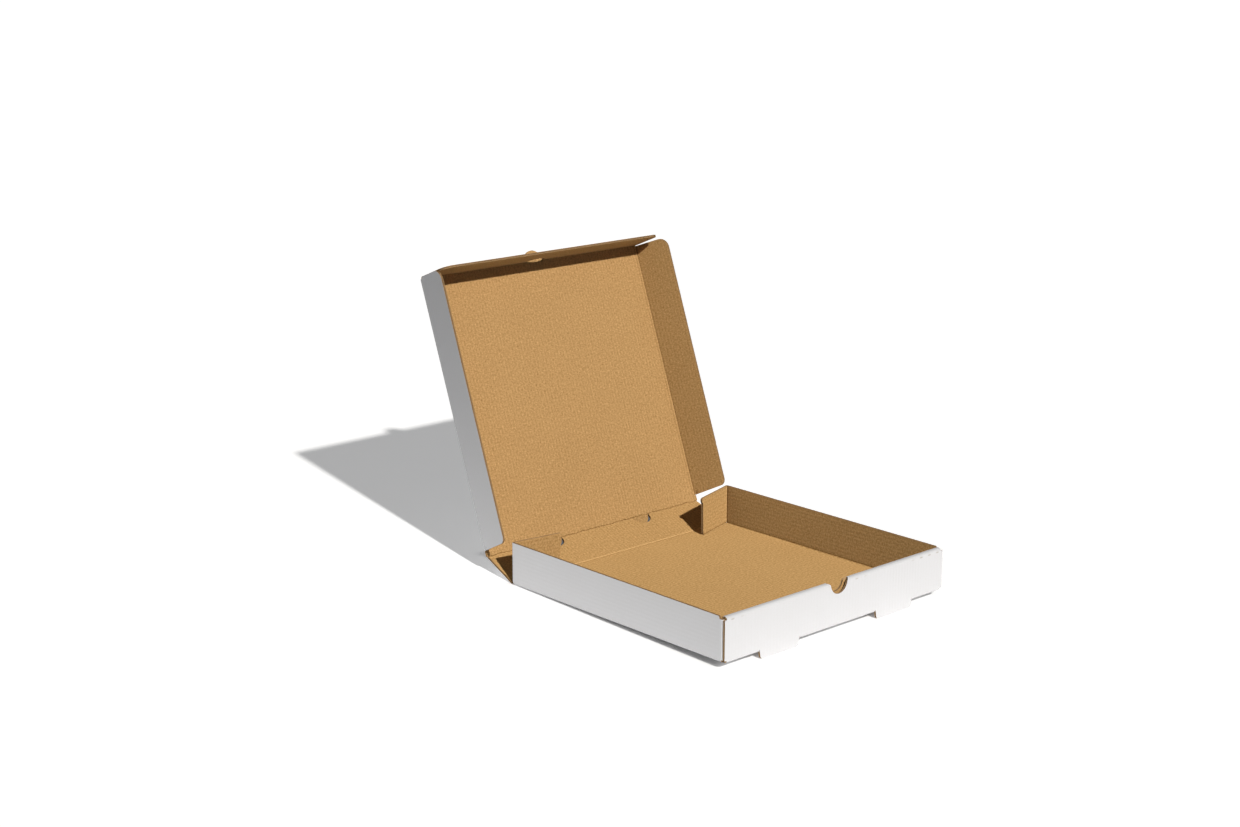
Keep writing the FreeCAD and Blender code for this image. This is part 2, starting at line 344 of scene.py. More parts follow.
def board(mesh, place, loop, seed, flat=None):
    """A panel: liners on both faces, and the open fluted edge along its cuts.

    The loop runs anticlockwise, seen from the inner face. flat maps (x, y) to the blank.
    """
    flat = flat or (lambda x, y: (x, y))

    def vert(x, y, z):
        fx, fy = flat(x, y)
        return mesh.add(place, x, y, z, (fx, fy, z))

    loop = roughen(loop, seed)
    triangles = geometry.tessellate_polygon([[Vector((x, y, 0)) for x, y, _ in loop]])
    for z, slot in ((0, KRAFT), (-BOARD, WHITE)):
        ids = [vert(x, y, z) for x, y, _ in loop]
        for a, b, c in triangles:
            pa, pb, pc = (Vector(loop[k][:2]) for k in (a, b, c))
            turned = (pb - pa).cross(pc - pa) < 0
            flip = turned if z == 0 else not turned
            mesh.face([ids[c], ids[b], ids[a]] if flip else [ids[a], ids[b], ids[c]], slot)

    ways = edge_normals(loop)
    back_edge = [(x - w.x * EDGE_DEPTH, y - w.y * EDGE_DEPTH) for (x, y, _), w in zip(loop, ways)]
    cuts = [(i, (i + 1) % len(loop)) for i in range(len(loop)) if loop[i][2] != "fold"]
    for z_face, z_under in ((0, -LINER), (-BOARD, -BOARD + LINER)):
        rim = [vert(x, y, z_face) for x, y, _ in loop]
        under = [vert(x, y, z_under) for x, y, _ in loop]
        inset = [vert(x, y, z_under) for x, y in back_edge]
        for i, j in cuts:
            for a, b in ((rim, under), (under, inset)):
                quad = [a[i], b[i], b[j], a[j]]
                mesh.face(quad if z_face == 0 else quad[::-1], EDGE)
    low = [vert(x, y, -BOARD + LINER) for x, y in back_edge]
    high = [vert(x, y, -LINER) for x, y in back_edge]
    for i, j in cuts:
        mesh.face([high[i], low[i], low[j], high[j]], FLUTE)
    flute_ribbon(mesh, vert, loop, ways, flat)


def flute_ribbon(mesh, vert, loop, ways, flat):
    """The fluted paper along the cut edges: it waves across the flutes and runs straight along them."""
    swing = (BOARD - 2 * LINER - FLUTE_PAPER) / 2
    count = len(loop)
    last = None
    for i in range(count):
        x, y, kind = loop[i]
        nx, ny, _ = loop[(i + 1) % count]
        if kind == "fold":
            last = None
            continue
        across = abs(flat(nx, ny)[0] - flat(x, y)[0])
        parts = max(1, math.ceil(across / (PITCH / WAVE_PARTS)))
        for k in range(parts + 1):
            t = k / parts
            px, py = x + (nx - x) * t, y + (ny - y) * t
            w = ways[i].lerp(ways[(i + 1) % count], t)
            z = -BOARD / 2 + swing * math.sin(2 * math.pi * flat(px, py)[0] / PITCH)
            rows = []
            for dz in (FLUTE_PAPER / 2, -FLUTE_PAPER / 2):
                rows.append(vert(px - w.x * RIBBON_INSET, py - w.y * RIBBON_INSET, z + dz))
                rows.append(vert(px - w.x * EDGE_DEPTH, py - w.y * EDGE_DEPTH, z + dz))
            if last and k > 0:
                top_out, top_in, low_out, low_in = rows
                p_top_out, p_top_in, p_low_out, p_low_in = last
                mesh.face([p_top_out, p_low_out, low_out, top_out], EDGE)
                mesh.face([p_top_in, p_top_out, top_out, top_in], FLUTE)
                mesh.face([low_in, low_out, p_low_out, p_low_in], FLUTE)
            last = rows


def bend(
    mesh, centre, run, first, second, flat_first, flat_second, flat_run, limits=None, crush=FLUTE_CRUSH
):
    """A rounded fold inside the tray: a quarter ring of board along the run, from one direction to the other.

    flat_first and flat_second are the fold's two edges in the blank, and flat_run is the run's way there.
    limits, if given, maps the share of the turn to the (low, high) ends along the run, in millimetres.
    crush is how far the flutes swell and sink where the fold crosses them.
    """
    length = run.length
    along = run / length
    turns = 8
    crosses = abs(flat_run[0]) > 0.5
    steps = max(1, math.ceil(length / (PITCH / 4 if crosses else PLAIN_STEP)))
    forward = first.cross(second).dot(along) > 0

    def point(s, t, radius, z):
        angle = t * math.pi / 2
        way = first * math.cos(angle) + second * math.sin(angle)
        lo, hi = limits(t) if limits else (0, length)
        d = lo + (hi - lo) * s
        fx = flat_first[0] + (flat_second[0] - flat_first[0]) * t + flat_run[0] * d
        fy = flat_first[1] + (flat_second[1] - flat_first[1]) * t + flat_run[1] * d
        if crosses:
            uneven = 0.6 + noise.noise(Vector((fx * ACROSS_WANDER, 5, 5)))
            wave = crush * math.sin(2 * math.pi * fx / PITCH) * uneven - ACROSS_SINK
        else:
            uneven = 0.5 + 0.5 * noise.noise(Vector((d * ALONG_WANDER, fx, 1)))
            wave = -ALONG_SINK * uneven
        p = centre + along * d + way * (radius + wave * math.sin(2 * angle) ** 2)
        return mesh.add(IN_TRAY, p.x, p.y, p.z, (fx, fy, z))

    for radius, z, slot in ((BEND, -BOARD, WHITE), (FOLD_RADIUS, 0, KRAFT)):
        grid = [[point(i / steps, k / turns, radius, z) for k in range(turns + 1)] for i in range(steps + 1)]
        for i in range(steps):
            for k in range(turns):
                quad = [grid[i][k], grid[i][k + 1], grid[i + 1][k + 1], grid[i + 1][k]]
                outward = (slot == WHITE) == forward
                mesh.face(quad[::-1] if outward else quad, slot)
    for end in (0, 1):
        outer = [point(end, k / turns, BEND, -BOARD) for k in range(turns + 1)]
        inner = [point(end, k / turns, FOLD_RADIUS, 0) for k in range(turns + 1)]
        for k in range(turns):
            mesh.face([outer[k], inner[k], inner[k + 1], outer[k + 1]], EDGE)


def foot_points(x, root, end, margin):
    """Foot corners from its left root to its right root, going round the end."""
    half = FOOT_WIDTH / 2 + margin
    return [
        (x - half, root, 0, "cut"),
        (x - half + FOOT_TAPER, end, FOOT_RADIUS, "cut"),
        (x + half - FOOT_TAPER, end, FOOT_RADIUS, "cut"),
        (x + half, root, 0, "fold"),
    ]


def notch_points(radius, level):
    """The finger notch from right to left, in (x, height, kind), for heights up to the given level."""
    centre = TOP - NOTCH_DEPTH + NOTCH_RADIUS
    lip_z = TOP - NOTCH_LIP_RADIUS
    lip_x = math.sqrt((radius + NOTCH_LIP_RADIUS) ** 2 - (lip_z - centre) ** 2)
    touch = math.degrees(math.atan2(lip_z - centre, lip_x))
    top = math.degrees(math.asin(min(1, (level - lip_z) / NOTCH_LIP_RADIUS)))
    right = arc(lip_x, lip_z, NOTCH_LIP_RADIUS, 180 - top, 180 + touch, 0.4)
    bowl = arc(0, centre, radius, touch, -180 - touch, 0.6)
    left = [(-x, h, kind) for x, h, kind in reversed(right)]
    last_x, last_height, _ = left[-1]
    return right[:-1] + bowl + left[1:-1] + [(last_x, last_height, "fold")]


def notch_half(radius, level):
    """Half the notch's width at a height near its lips."""
    centre = TOP - NOTCH_DEPTH + NOTCH_RADIUS
    lip_z = TOP - NOTCH_LIP_RADIUS
    lip_x = math.sqrt((radius + NOTCH_LIP_RADIUS) ** 2 - (lip_z - centre) ** 2)
    reach = NOTCH_LIP_RADIUS**2 - (level - lip_z) ** 2
    return lip_x - math.sqrt(max(0, reach))


def tray_floor(mesh):
    """The floor, with a slot for each foot and its lock tab."""
    outline = [(-FLAT_HALF, FLOOR_END, 0, "fold"), (-FLAT_HALF, BEND, 0, "fold")]
    for x in FOOT_CENTRES:
        outline += foot_points(x, BEND, BOARD * 2 + FOOT_HEIGHT + KERF, KERF)
    outline += [(FLAT_HALF, BEND, 0, "fold"), (FLAT_HALF, FLOOR_END, 0, "cut")]
    board(mesh, IN_TRAY, rounded(outline), 1.0)


def side_wall(mesh, side):
    """A side wall and the folds at its foot and at its front end."""
    low, high = INNER_HALF + FOLD_RADIUS, INNER_HALF + TOP
    ledge, step = INNER_HALF + DUST_FLAP_TOP, ROLL_DEPTH + KERF
    outline = [
        (side * low, WALL_END, 0, "fold"),
        (side * low, WALL_START, 0, "fold"),
        (side * ledge, WALL_START, 0, "cut"),
        (side * ledge, step, 0.5, "cut"),
        (side * high, step, 1.2, "cut"),
        (side * high, WALL_END, 0.6, "cut"),
    ]
    board(mesh, IN_SIDE_WALL[side], anticlockwise(rounded(outline)), 2.0 + side)
    fold = Vector((side * FLAT_HALF, WALL_START, FOLD_RADIUS))
    bend(
        mesh, fold, Y_AXIS * (WALL_END - WALL_START), -Z_AXIS, side * X_AXIS,
        (side * FLAT_HALF, WALL_START), (side * low, WALL_START), (0, 1),
    )
    bend(
        mesh, fold, Z_AXIS * (DUST_FLAP_TOP - FOLD_RADIUS), side * X_AXIS, -Y_AXIS,
        (side * low, WALL_START), (side * low, WALL_START - 2 * FOLD_RADIUS), (side, 0),
    )


def dust_flap(mesh, side):
    """The flap at the front end of a side wall, caught inside the rolled front wall. Its x runs up."""
    end = HALF_WIDTH - DUST_FLAP_LENGTH
    outline = [
        (FOLD_RADIUS, -side * FLAT_HALF, 0, "fold"),
        (DUST_FLAP_TOP, -side * FLAT_HALF, 0, "cut"),
        (DUST_FLAP_TOP, -side * end, DUST_FLAP_RADIUS, "cut"),
        (FOLD_RADIUS, -side * end, 0, "cut"),
    ]
    upright = Matrix(((0, -1, 0, 0), (0, 0, -1, DUST_FLAP_FRONT), (1, 0, 0, 0), (0, 0, 0, 1)))
    place = IN_TRAY @ upright @ Matrix.Translation((0, 0, -BOARD))

    def flat(x, y):
        return side * (INNER_HALF + x), abs(y) - INNER_HALF

    board(mesh, place, anticlockwise(rounded(outline)), 5.0 + side, flat)


def front_place(y):
    """A front panel's place: its y runs up from the floor, and its inner face lies at the given depth."""
    return IN_TRAY @ Matrix.Translation((0, y, 0)) @ Matrix.Rotation(math.radians(90), 4, "X")


def outer_front(mesh):
    """The outer front panel, with the feet below it and the finger notch in its top."""
    outline = [(-HALF_WIDTH, FOLD_RADIUS, 0, "fold")]
    for x in FOOT_CENTRES:
        outline += foot_points(x, FOLD_RADIUS, -BOARD - FOOT_HEIGHT, 0)
    outline += [(HALF_WIDTH, FOLD_RADIUS, 0, "cut"), (HALF_WIDTH, ROLL_LEVEL, 0, "fold")]
    loop = rounded(outline) + notch_points(NOTCH_RADIUS, ROLL_LEVEL) + [(-HALF_WIDTH, ROLL_LEVEL, "cut")]
    panel(mesh, front_place(BOARD) @ FACE_DOWN, loop, 7.0, lambda x, y: (x, BOARD - y))


def front_roll(mesh, way):
    """Half of the roll along the front wall's top: two folds and the strip between them, up to the notch."""
    rolls = (
        (BEND, -Y_AXIS, Z_AXIS, NOTCH_RADIUS, TOP_STRIP_START),
        (ROLL_DEPTH - BEND, Z_AXIS, Y_AXIS, NOTCH_RADIUS - INNER_NOTCH_STEP, INNER_FRONT_START),
    )
    for centre_y, first, second, radius, fold in rolls:
        def limits(t, radius=radius, rising=(second == Z_AXIS)):
            angle = (t if rising else 1 - t) * math.pi / 2
            edge = notch_half(radius, ROLL_LEVEL + BEND * math.sin(angle))
            if not rising:
                edge += (1 - t) * (notch_half(NOTCH_RADIUS, TOP) - notch_half(radius, TOP))
            return (edge, FLAT_HALF)

        bend(
            mesh, Vector((0, centre_y, ROLL_LEVEL)), X_AXIS * way, first, second,
            (0, fold + FOLD_RADIUS), (0, fold - FOLD_RADIUS), (way, 0), limits,
        )
    edge = notch_half(NOTCH_RADIUS, TOP)
    strip = [
        (way * edge, BEND, "fold"),
        (way * FLAT_HALF, BEND, "cut"),
        (way * FLAT_HALF, ROLL_DEPTH - BEND, "fold"),
        (way * edge, ROLL_DEPTH - BEND, "cut"),
    ]
    place = IN_TRAY @ Matrix.Translation((0, 0, TOP - BOARD)) @ FACE_DOWN
    panel(mesh, place, strip, 8.0 + way, lambda x, y: (x, TOP_STRIP_START - (y - BOARD)))


def inner_front(mesh):
    """The inner front panel, which comes down behind the dust flaps and locks in the floor by two tabs."""
    half = FOOT_WIDTH / 2 - LOCK_TAB_INSET
    tip = half - LOCK_TAB_CORNER
    outline = [(-FLAT_HALF, LAYER_GAP, 0, "cut")]
    for x in FOOT_CENTRES:
        outline += [
            (x - half, LAYER_GAP, 0, "cut"),
            (x - tip, -BOARD, LOCK_TAB_CORNER, "cut"),
            (x + tip, -BOARD, LOCK_TAB_CORNER, "cut"),
            (x + half, LAYER_GAP, 0, "cut"),
        ]
    outline += [(FLAT_HALF, LAYER_GAP, 0, "cut"), (FLAT_HALF, ROLL_LEVEL, 0, "fold")]
    notch = notch_points(NOTCH_RADIUS - INNER_NOTCH_STEP, ROLL_LEVEL)
    loop = rounded(outline) + notch + [(-FLAT_HALF, ROLL_LEVEL, "cut")]

    def flat(x, y):
        return x, INNER_FRONT_START - (TOP - BOARD - y)

    panel(mesh, front_place(ROLL_DEPTH - BOARD), loop, 9.5, flat)


def lower_front_fold(mesh):
    """The fold between floor and front wall, in three runs beside and between the feet."""
    half = FOOT_WIDTH / 2 + KERF
    starts = [-FLAT_HALF] + [x + half for x in FOOT_CENTRES]
    ends = [x - half for x in FOOT_CENTRES] + [FLAT_HALF]
    for start, end in zip(starts, ends):
        bend(
            mesh, Vector((start, BEND, FOLD_RADIUS)), X_AXIS * (end - start), -Z_AXIS, -Y_AXIS,
            (start, BEND), (start, BOARD - FOLD_RADIUS), (1, 0), crush=FRONT_FOLD_CRUSH,
        )


def tray_piece():
    """Floor, side walls with dust flaps, and the rolled front wall with its feet."""
    mesh = Mesh()
    tray_floor(mesh)
    for side in (-1, 1):
        side_wall(mesh, side)
        dust_flap(mesh, side)
    outer_front(mesh)
    for way in (-1, 1):
        front_roll(mesh, way)
    inner_front(mesh)
    lower_front_fold(mesh)
    return mesh


def panel(mesh, place, loop, seed, flat=None):
    """A board whose frame may be mirrored: its faces are turned so that they look out."""
    part = Mesh()
    board(part, place, anticlockwise(loop), seed, flat)
    mirrored = place.determinant() < 0
    base = len(mesh.points)
    mesh.points += part.points
    mesh.flat += part.flat
    mesh.slots += part.slots
    for face in part.faces:
        ids = [base + i for i in face]
        mesh.faces.append(ids[::-1] if mirrored else ids)


def crease(mesh, place_a, place_b, line, start, end, side, raise_by):
    """The bent board over a hinge, between panels a and b; side is +1 if b lies at larger values.

    line is ("y", value) for a crease along x, and ("x", value) for one along y. The outer face turns about
    the crease at the board's own thickness, with a lip on each panel; the inner face meets in a plain corner.
    """
    axis, value = line
    parts = 6
    outer_shoulder, inner_shoulder = 0.5, 0.4
    lip_share = 0.3
    crosses = axis == "y"
    steps = max(1, math.ceil(abs(end - start) / (PITCH / 4 if crosses else 30)))
    down_a = -(place_a.to_3x3() @ Z_AXIS).normalized()
    down_b = -(place_b.to_3x3() @ Z_AXIS).normalized()

    def put(point, s, off, z):
        mesh.points.append(point)
        mesh.flat.append((s, value + off, z) if crosses else (value + off, s, z))
        return len(mesh.points) - 1

    def at(place, s, off, depth):
        return place @ Vector((s, value + off, depth) if crosses else (value + off, s, depth))

    def lifted(place, s, off, z, share):
        """A point by the crease, off its face by a share of raise_by."""
        depth = z + raise_by * share * (1 if z == 0 else -1)
        return put(at(place, s, off, depth), s, off, z)

    def swung(s, t):
        """A point of the outer face at share t of the turn."""
        wave = CREASE_WAVE * math.sin(2 * math.pi * s / PITCH) if crosses else 0.0
        radius = BOARD + raise_by + wave * math.sin(math.pi * t)
        way = down_a.slerp(down_b, t)
        return put(at(place_a, s, 0, 0) + way * radius * MM, s, side * 0.3 * (t - 0.5), -BOARD)

    rows_outer, rows_inner = [], []
    for i in range(steps + 1):
        s = start + (end - start) * i / steps
        rows_outer.append([
            lifted(place_a, s, -side * CREASE_LIP, -BOARD, lip_share),
            lifted(place_a, s, -side * outer_shoulder, -BOARD, 1),
            *[swung(s, k / parts) for k in range(parts + 1)],
            lifted(place_b, s, side * outer_shoulder, -BOARD, 1),
            lifted(place_b, s, side * CREASE_LIP, -BOARD, lip_share),
        ])
        rows_inner.append([
            lifted(place_a, s, -side * CREASE_LIP, 0, lip_share),
            lifted(place_a, s, -side * inner_shoulder, 0, 1),
            lifted(place_a, s, 0, 0, 0),
            lifted(place_b, s, side * inner_shoulder, 0, 1),
            lifted(place_b, s, side * CREASE_LIP, 0, lip_share),
        ])
    for rows, slot in ((rows_outer, WHITE), (rows_inner, KRAFT)):
        for row, following in zip(rows, rows[1:]):
            for k in range(len(row) - 1):
                mesh.face([row[k], row[k + 1], following[k + 1], following[k]], slot)
    for i in (0, steps):
        outer, middle = rows_outer[i], rows_inner[i][2]
        for k in range(1, len(outer) - 2):
            mesh.face([middle, outer[k], outer[k + 1]], EDGE)


def orient(piece):
    """Turns each connected run of faces so that it looks out of the board."""
    work = bmesh.new()
    work.from_mesh(piece.data)
    bmesh.ops.recalc_face_normals(work, faces=work.faces)
    work.to_mesh(piece.data)
    work.free()


# Materials
def nodes_of(material):
    tree = material.node_tree
    tree.nodes.clear()
    out = tree.nodes.new("ShaderNodeOutputMaterial")
    shader = tree.nodes.new("ShaderNodeBsdfPrincipled")
    tree.links.new(shader.outputs[0], out.inputs[0])
    return tree, shader


class Graph:
    """Short hand for building node trees."""

    def __init__(self, tree):
        self.tree = tree

    def node(self, kind, **values):
        n = self.tree.nodes.new(kind)
        for key, value in values.items():
            setattr(n, key, value)
        return n

    def link(self, a, b):
        self.tree.links.new(a, b)

    def math(self, op, a, b=0.0, c=0.0):
        n = self.node("ShaderNodeMath", operation=op)
        for socket, value in zip(n.inputs, (a, b, c)):
            if isinstance(value, (int, float)):
                socket.default_value = value
            else:
                self.link(value, socket)
        return n.outputs[0]

    def noise(self, vector, scale, detail=2.0, rough=0.5):
        n = self.node("ShaderNodeTexNoise")
        n.inputs["Scale"].default_value = scale
        n.inputs["Detail"].default_value = detail
        n.inputs["Roughness"].default_value = rough
        self.link(vector, n.inputs["Vector"])
        return n.outputs["Fac"]

    def stretch(self, vector, scale):
        n = self.node("ShaderNodeVectorMath", operation="MULTIPLY")
        n.inputs[1].default_value = scale
        self.link(vector, n.inputs[0])
        return n.outputs[0]

    def band(self, value, centre, width):
        """1 on a line at the centre and 0 away from it; width is the half width where it has faded."""
        off = self.math("DIVIDE", self.math("SUBTRACT", value, centre * MM), width * MM)
        return self.math("EXPONENT", self.math("MULTIPLY", self.math("MULTIPLY", off, off), -1.0))

    def stroke(self, value, centre, width, strength):
        """A band, scaled by its strength."""
        return self.math("MULTIPLY", self.band(value, centre, width), strength)

    def product(self, first, *others):
        for other in others:
            first = self.math("MULTIPLY", first, other)
        return first

    def total(self, first, *others):
        for other in others:
            first = self.math("ADD", first, other)
        return first

    def between(self, value, low, high):
        """1 where the value lies between two lengths in millimetres, 0 elsewhere."""
        above = self.math("GREATER_THAN", value, low * MM)
        return self.product(above, self.math("LESS_THAN", value, high * MM))

    def ramp(self, value, stops):
        n = self.node("ShaderNodeValToRGB")
        ramp = n.color_ramp
        while len(ramp.elements) < len(stops):
            ramp.elements.new(0.5)
        for element, (position, colour) in zip(ramp.elements, stops):
            element.position = position
            element.color = (*colour, 1)
        self.link(value, n.inputs[0])
        return n.outputs[0]

    def bump(self, height, strength, distance, shader):
        n = self.node("ShaderNodeBump")
        n.inputs["Strength"].default_value = strength
        n.inputs["Distance"].default_value = distance
        self.link(height, n.inputs["Height"])
        self.link(n.outputs[0], shader.inputs["Normal"])

    def mix(self, kind, fac, a, b):
        n = self.node("ShaderNodeMix", data_type="RGBA", blend_type=kind)
        n.inputs[0].default_value = fac
        for socket, value in ((n.inputs[6], a), (n.inputs[7], b)):
            if isinstance(value, tuple):
                socket.default_value = (*value, 1)
            else:
                self.link(value, socket)
        return n.outputs[2]


def kraft_crease_shading(g, x, y):
    """Painted shade and highlights on the brown liner along its creases and dents, as a sum of fine lines,
    and painted shade on all but the lid's top.
    """
    aside = g.math("ABSOLUTE", x)
    along = g.node("ShaderNodeCombineXYZ")
    g.link(x, along.inputs[0])
    along = along.outputs[0]

    # Creases across the box, with painted shade and highlight: the lid's dark line wanders and fades, the
    # floor's has a painted highlight on its ridge and painted shade at its foot
    drift = g.math("SUBTRACT", g.noise(g.stretch(along, (95, 0, 0)), 1.0, 3.0, 0.6), 0.5)
    wander = g.math("MULTIPLY_ADD", drift, 4.5 * MM, y)
    fading = g.noise(g.stretch(along, (40, 0, 0)), 1.0, 2.0, 0.5)
    lid = g.product(g.stroke(wander, LID_CREASE + 0.3, 0.45, -1.0), fading)
    ridge = g.stroke(y, BACK_CREASE + 0.5, 0.7, 0.34)
    foot = g.stroke(y, BACK_CREASE - 1.1, 0.6, -0.2)
    across = g.product(g.total(lid, ridge, foot), g.math("LESS_THAN", aside, INNER_HALF * MM))
    # Painted shade along the front crease
    front = g.stroke(y, FRONT_CREASE, 0.4, -0.2)

    # Upright folds of the rear tabs: painted shade in the corner, and a painted highlight beside it
    upright = g.math("GREATER_THAN", aside, (INNER_HALF + FLOOR_GAP) * MM)
    corner = g.product(g.stroke(y, TAB_CREASE - 0.7, 0.7, -0.5), upright)
    bright = g.product(g.stroke(y, TAB_CREASE + 1.3, 0.8, 0.18), upright)

    # Folds along the box, with painted shade: at the foot of the walls, and double lines at the lid's side
    # flaps
    in_tray = g.math("LESS_THAN", y, (TAB_CREASE + TAB_LENGTH + EAR_LENGTH) * MM)
    in_lid = g.math("GREATER_THAN", y, (LID_CREASE + SIDE_FLAP_START) * MM)
    wall = g.product(g.stroke(aside, INNER_HALF + 0.4, 0.8, -0.5), in_tray)
    double = g.total(g.stroke(aside, LID_HALF, 0.45, -0.4), g.stroke(aside, LID_HALF - 2.6, 0.4, -0.2))
    side = g.product(double, in_lid)

    # Painted shade of a row of short dents, as sewn, beside the crease of the right wall
    phase = g.math("MULTIPLY", y, 2 * math.pi / (DENT_PITCH * MM))
    dent = g.math("GREATER_THAN", g.math("SINE", phase), -0.1)
    run = g.between(y, DENT_START, DENT_END)
    dents = g.product(g.stroke(x, INNER_HALF - 1.9, 0.5, -0.42), dent, run)

    # Painted shade: the kraft outside the lid's top is painted a tenth darker, standing in for light falling
    # off on the tray, hinge panel, tabs and side flaps
    in_top = g.product(g.math("GREATER_THAN", y, LID_CREASE * MM), g.math("LESS_THAN", aside, LID_HALF * MM))
    painted_falloff = g.math("MULTIPLY_ADD", in_top, 0.1, -0.1)
    return g.total(painted_falloff, dents, across, front, corner, bright, wall, side)


def white_slit_shading(g, x, y):
    """Painted shade of short slits of the cutting rule along the top fold of the front wall: dark dashes on
    the white liner.
    """
    total = 0.0
    for centre, strength in PERFORATIONS:
        off = g.math("DIVIDE", g.math("SUBTRACT", x, centre * MM), PERFORATION_HALF_LENGTH * MM)
        off = g.math("POWER", g.math("ABSOLUTE", off), 6.0)
        total = g.math("MULTIPLY_ADD", g.math("EXPONENT", g.math("MULTIPLY", off, -1.0)), -strength, total)
    return g.stroke(y, PERFORATION_LINE, 0.42, total)


def liner(name, base, cloud_swing, speck_swing, washboard_shading, rough, matt, painted_shading):
    """A paper liner: cloudy pulp, short fibres, dark and pale specks, and the washboard of the flutes below,
    as bump and as painted shade.

    The swings and the washboard's painted shade say how far each of them moves the tone, and matt how evenly
    the paper scatters light; the marks add painted shade and highlights along creases and slits.
    """
    material = bpy.data.materials.new(name)
    material.use_nodes = True
    tree, shader = nodes_of(material)
    g = Graph(tree)
    place = g.node("ShaderNodeAttribute", attribute_name="blank").outputs["Vector"]
    split = g.node("ShaderNodeSeparateXYZ")
    g.link(place, split.inputs[0])
    x, y = split.outputs[0], split.outputs[1]

    cloud = g.noise(g.stretch(place, (24, 24, 24)), 1.0, 3.0, 0.6)
    mottle = g.noise(g.stretch(place, (620, 620, 620)), 1.0, 3.0, 0.7)
    fibres = g.noise(g.stretch(place, (1500, 300, 900)), 1.0, 2.0, 0.55)
    cross = g.noise(g.stretch(place, (330, 1300, 900)), 1.0, 2.0, 0.55)
    grain = g.math("MULTIPLY_ADD", fibres, 0.5, g.math("MULTIPLY", cross, 0.5))
    wander = g.noise(g.stretch(place, (60, 12, 1)), 1.0, 2.0, 0.5)
    patch = g.noise(g.stretch(place, (90, 30, 9)), 1.0, 2.0, 0.5)
    phase = g.math("MULTIPLY_ADD", x, 2 * math.pi / (PITCH * MM), g.math("MULTIPLY", wander, 1.6))
    wave = g.math("MULTIPLY", g.math("SINE", phase), g.math("MULTIPLY", patch, 1.6))

    tone = g.math("MULTIPLY_ADD", g.math("SUBTRACT", cloud, 0.5), cloud_swing, 1.0)
    specks = g.math("MULTIPLY", g.math("SUBTRACT", mottle, 0.5), speck_swing)
    threads = g.math("MULTIPLY", g.math("SUBTRACT", grain, 0.5), speck_swing)
    # The wave also moves the tone: painted shade and light of the washboard, which the bump below shapes as
    # well
    tone = g.total(tone, specks, threads, g.math("MULTIPLY", wave, washboard_shading), painted_shading(g, x, y))
    tone = g.math("MAXIMUM", tone, 0.1)
    tint = g.node("ShaderNodeCombineXYZ")
    for socket, power in zip(tint.inputs, (0.86, 1.0, 1.3)):
        g.link(g.math("POWER", tone, power), socket)
    g.link(g.mix("MULTIPLY", 1.0, tint.outputs[0], base), shader.inputs["Base Color"])
    g.link(g.math("MULTIPLY_ADD", grain, 0.12, rough), shader.inputs["Roughness"])

    height = g.math("MULTIPLY_ADD", grain, 0.02, g.math("MULTIPLY", mottle, 0.012))
    height = g.math("MULTIPLY_ADD", wave, 0.024, height)
    g.bump(height, 1.0, 1.0 * MM, shader)
    shader.inputs["Specular IOR Level"].default_value = 0.2
    shader.inputs["Diffuse Roughness"].default_value = matt
    return material


def cut_paper(name, base, dark):
    """Cut or torn paper at the edge of the board."""
    material = bpy.data.materials.new(name)
    material.use_nodes = True
    tree, shader = nodes_of(material)
    g = Graph(tree)
    place = g.node("ShaderNodeAttribute", attribute_name="blank").outputs["Vector"]
    fibres = g.noise(g.stretch(place, (1800, 1800, 4200)), 1.0, 3.0, 0.6)
    g.link(g.ramp(fibres, [(0.3, dark), (0.65, base)]), shader.inputs["Base Color"])
    g.bump(fibres, 0.6, 0.2 * MM, shader)
    shader.inputs["Roughness"].default_value = 0.92
    shader.inputs["Specular IOR Level"].default_value = 0.15
    return material


MATERIALS = [
    liner(
        "kraft_liner", (0.485, 0.293, 0.115), cloud_swing=0.10, speck_swing=1.3, washboard_shading=0.058,
        rough=0.78, matt=1.0, painted_shading=kraft_crease_shading,
    ),
    liner(
        "white_liner", (0.605, 0.601, 0.608), cloud_swing=0.03, speck_swing=0.05, washboard_shading=0.006,
        rough=0.6, matt=0.2, painted_shading=white_slit_shading,
    ),
    cut_paper("cut_edge", base=(0.46, 0.30, 0.15), dark=(0.30, 0.18, 0.085)),
    cut_paper("fluted_paper", base=(0.34, 0.21, 0.10), dark=(0.22, 0.13, 0.06)),
]


# Outlines of the flat pieces, in the blank
def rear_tab_loop(side):
    low, high = INNER_HALF + FLOOR_GAP, INNER_HALF + TOP
    start, end = TAB_CREASE + CREASE_GAP, TAB_CREASE + TAB_LENGTH
    return rounded([
        (side * low, start, 0, "cut"),
        (side * low, end - TAB_TAPER, TAB_RADIUS, "cut"),
        (side * (high - EAR_HEIGHT), end, 0, "cut"),
        (side * high, end + EAR_LENGTH, TAB_RADIUS, "cut"),
        (side * high, start, 0, "cut"),
    ])


def hinge_panel_loop():
    start, end = BACK_CREASE + CREASE_GAP, LID_CREASE - CREASE_GAP
    foot_half = HALF_WIDTH - HINGE_PANEL_INSET
    top_half = foot_half - HINGE_PANEL_TAPER
    dip = math.degrees(math.asin(CREASE_GAP / VENT_CUT))
    loop = [(-foot_half, start, "cut"), (foot_half, start, "cut"), (top_half, end, "cut")]
    for x in (VENT, -VENT):
        loop += arc(x, LID_CREASE, VENT_CUT, -dip, -180 + dip)
    return loop + [(-top_half, end, "cut")]


def lid_panel_loop():
    start, end = LID_CREASE + CREASE_GAP, FRONT_CREASE - CREASE_GAP
    flap_start = LID_CREASE + SIDE_FLAP_START - KERF
    wide = LID_HALF + LID_SHOULDER
    loop = [(-wide, start, "cut")]
    for x in (-VENT, VENT):
        loop += arc(x, start, VENT_RADIUS, 180, 360)
    loop += [(wide, start, "cut"), (wide, flap_start, "cut")]
    loop += [(LID_EDGE, flap_start, "cut"), (LID_EDGE, end, "cut")]
    loop += arc(0, end, THUMB_RADIUS, 0, 180)
    return loop + [(-LID_EDGE, end, "cut"), (-LID_EDGE, flap_start, "cut"), (-wide, flap_start, "cut")]


